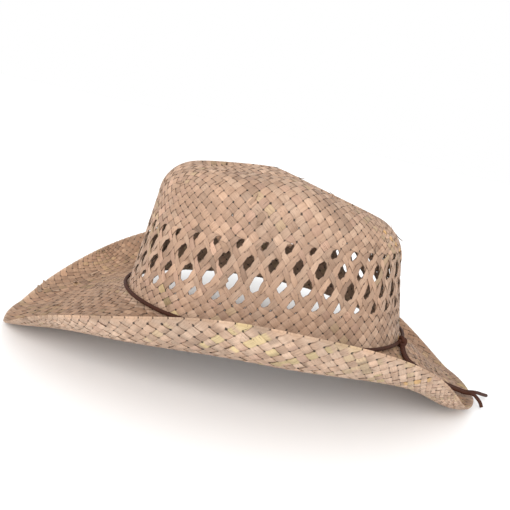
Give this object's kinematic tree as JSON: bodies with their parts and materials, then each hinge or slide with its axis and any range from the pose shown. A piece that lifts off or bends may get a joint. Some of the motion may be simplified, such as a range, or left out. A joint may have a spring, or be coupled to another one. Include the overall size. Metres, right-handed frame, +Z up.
{
  "type": "straw cowboy hat",
  "caption": "Woven straw cowboy hat with a creased, vented crown, a brim curled up at the sides and a thin leather lace knotted round the foot of the crown.",
  "frame": {"origin": "on the floor under the middle of the brim, midway between the front and rear tips", "axes": "+X towards the rear of the hat, +Y towards the wearer's right side, +Z up out of the crown"},
  "size_m": [0.3547, 0.3022, 0.1327],
  "materials": {
    "crown_straw": "flat palm straw strands in a plain bias weave, satin",
    "brim_straw": "flat palm straw strands in a plain bias weave with a folded hem, satin",
    "lace_leather": "dark brown round leather lace, dull satin"
  },
  "bodies": {
    "root": {"crown": "crown_straw", "brim": "brim_straw", "hat_cord": "lace_leather", "cord_knot": "lace_leather", "cord_tail_upper": "lace_leather", "cord_tail_lower": "lace_leather"}
  },
  "joints": []
}
